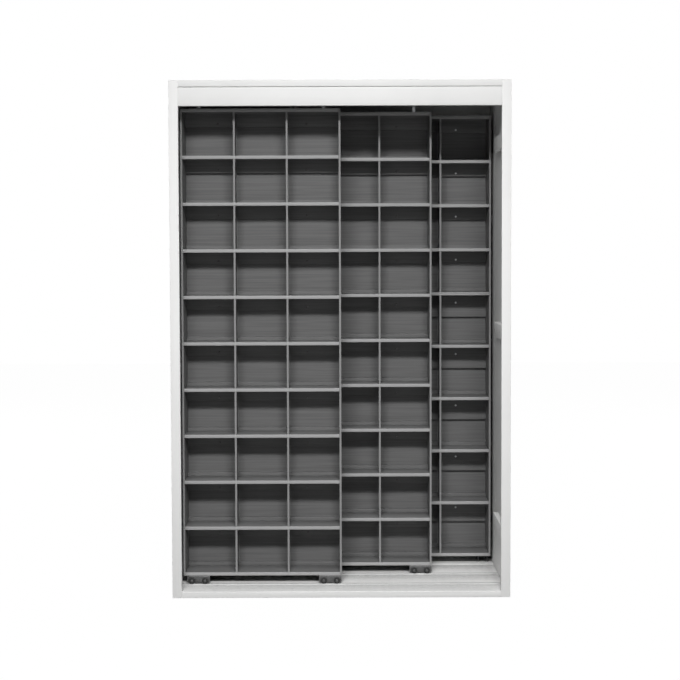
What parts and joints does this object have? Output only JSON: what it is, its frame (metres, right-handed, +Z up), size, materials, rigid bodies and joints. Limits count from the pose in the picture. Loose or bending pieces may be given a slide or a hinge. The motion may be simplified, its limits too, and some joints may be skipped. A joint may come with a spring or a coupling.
{
  "type": "sliding rack cabinet",
  "caption": "Tall open-fronted cabinet with pigeonhole racks in three planes. The front and middle racks roll sideways on grooved wheels, and the rear racks are fixed.",
  "frame": {"origin": "centre of the base, on the floor", "axes": "+X to the right seen from the front, +Y to the back, +Z up"},
  "size_m": [1.312, 0.547, 2],
  "materials": {
    "white_board": "white melamine face, semi-matte",
    "track_metal": "light grey stoved enamel, semi-matte",
    "rack_paint": "grey powder coat, semi-gloss",
    "bright_zinc": "bright zinc plate",
    "dark_nylon": "moulded black nylon",
    "pale_nylon": "moulded natural nylon"
  },
  "bodies": {
    "cabinet": {"left_side_panel": "white_board", "right_side_panel": "white_board", "left_stile": "white_board", "right_stile": "white_board", "top_panel": "white_board", "header_fascia": "white_board", "back_panel": "white_board", "floor_panel": "white_board", "front_sill": "track_metal", "front_track": "track_metal", "middle_track": "track_metal", "rear_plinth": "track_metal", "front_guide_channel": "bright_zinc", "middle_guide_channel": "bright_zinc", "stop_battens": "white_board", "batten_screws": "bright_zinc", "guide_screws": "bright_zinc", "rear_upper_sides": "rack_paint", "rear_upper_plates": "rack_paint", "rear_lower_sides": "rack_paint", "rear_lower_plates": "rack_paint", "rear_rack_backs": "rack_paint", "rear_rack_shelves": "rack_paint", "rear_rack_dividers": "rack_paint", "rear_rack_rails": "rack_paint", "rear_rack_feet": "rack_paint", "rear_rack_screws": "bright_zinc"},
    "front_rack": {"front_rack_sides": "rack_paint", "front_rack_top": "rack_paint", "front_rack_base": "rack_paint", "front_rack_shelves": "rack_paint", "front_rack_dividers": "rack_paint", "front_rack_back": "rack_paint", "front_rack_rails": "rack_paint", "front_rack_screws": "bright_zinc", "front_rack_trucks": "bright_zinc", "front_rack_axles": "bright_zinc", "front_guide_brackets": "bright_zinc", "front_guide_shoes": "pale_nylon"},
    "front_wheels_1": {"front_wheels_1": "dark_nylon"},
    "front_wheels_2": {"front_wheels_2": "dark_nylon"},
    "front_wheels_3": {"front_wheels_3": "dark_nylon"},
    "front_wheels_4": {"front_wheels_4": "dark_nylon"},
    "middle_rack": {"middle_rack_sides": "rack_paint", "middle_rack_top": "rack_paint", "middle_rack_base": "rack_paint", "middle_rack_shelves": "rack_paint", "middle_rack_dividers": "rack_paint", "middle_rack_back": "rack_paint", "middle_rack_rails": "rack_paint", "middle_rack_screws": "bright_zinc", "middle_rack_trucks": "bright_zinc", "middle_rack_axles": "bright_zinc", "middle_guide_brackets": "bright_zinc", "middle_guide_shoes": "pale_nylon"},
    "middle_wheels_1": {"middle_wheels_1": "dark_nylon"},
    "middle_wheels_2": {"middle_wheels_2": "dark_nylon"},
    "middle_wheels_3": {"middle_wheels_3": "dark_nylon"},
    "middle_wheels_4": {"middle_wheels_4": "dark_nylon"}
  },
  "joints": [
    {"name": "front_slide", "type": "slide", "parent": "cabinet", "child": "front_rack", "axis": [1, 0, 0], "range_m": [-0.006, 0.617]},
    {"name": "front_wheel_turn_1", "type": "hinge", "parent": "front_rack", "child": "front_wheels_1", "pos_m": [-0.594, -0.1585, 0.0368], "axis": [0, 1, 0], "range_deg": [-31, 2831]},
    {"name": "front_wheel_turn_2", "type": "hinge", "parent": "front_rack", "child": "front_wheels_2", "pos_m": [-0.542, -0.1585, 0.0368], "axis": [0, 1, 0], "range_deg": [-31, 2831]},
    {"name": "front_wheel_turn_3", "type": "hinge", "parent": "front_rack", "child": "front_wheels_3", "pos_m": [-0.07, -0.1585, 0.0368], "axis": [0, 1, 0], "range_deg": [-31, 2831]},
    {"name": "front_wheel_turn_4", "type": "hinge", "parent": "front_rack", "child": "front_wheels_4", "pos_m": [-0.018, -0.1585, 0.0368], "axis": [0, 1, 0], "range_deg": [-31, 2831]},
    {"name": "middle_slide", "type": "slide", "parent": "cabinet", "child": "middle_rack", "axis": [1, 0, 0], "range_m": [-0.374, 0.264]},
    {"name": "middle_wheel_turn_1", "type": "hinge", "parent": "middle_rack", "child": "middle_wheels_1", "pos_m": [-0.226, -0.0145, 0.0368], "axis": [0, 1, 0], "range_deg": [-1717, 1213]},
    {"name": "middle_wheel_turn_2", "type": "hinge", "parent": "middle_rack", "child": "middle_wheels_2", "pos_m": [-0.174, -0.0145, 0.0368], "axis": [0, 1, 0], "range_deg": [-1717, 1213]},
    {"name": "middle_wheel_turn_3", "type": "hinge", "parent": "middle_rack", "child": "middle_wheels_3", "pos_m": [0.298, -0.0145, 0.0368], "axis": [0, 1, 0], "range_deg": [-1717, 1213]},
    {"name": "middle_wheel_turn_4", "type": "hinge", "parent": "middle_rack", "child": "middle_wheels_4", "pos_m": [0.35, -0.0145, 0.0368], "axis": [0, 1, 0], "range_deg": [-1717, 1213]}
  ],
  "couplings": [
    {"joint": "front_wheel_turn_1", "follows": "front_slide", "rad_per_m": 80},
    {"joint": "front_wheel_turn_2", "follows": "front_slide", "rad_per_m": 80},
    {"joint": "front_wheel_turn_3", "follows": "front_slide", "rad_per_m": 80},
    {"joint": "front_wheel_turn_4", "follows": "front_slide", "rad_per_m": 80},
    {"joint": "middle_wheel_turn_1", "follows": "middle_slide", "rad_per_m": 80},
    {"joint": "middle_wheel_turn_2", "follows": "middle_slide", "rad_per_m": 80},
    {"joint": "middle_wheel_turn_3", "follows": "middle_slide", "rad_per_m": 80},
    {"joint": "middle_wheel_turn_4", "follows": "middle_slide", "rad_per_m": 80}
  ]
}
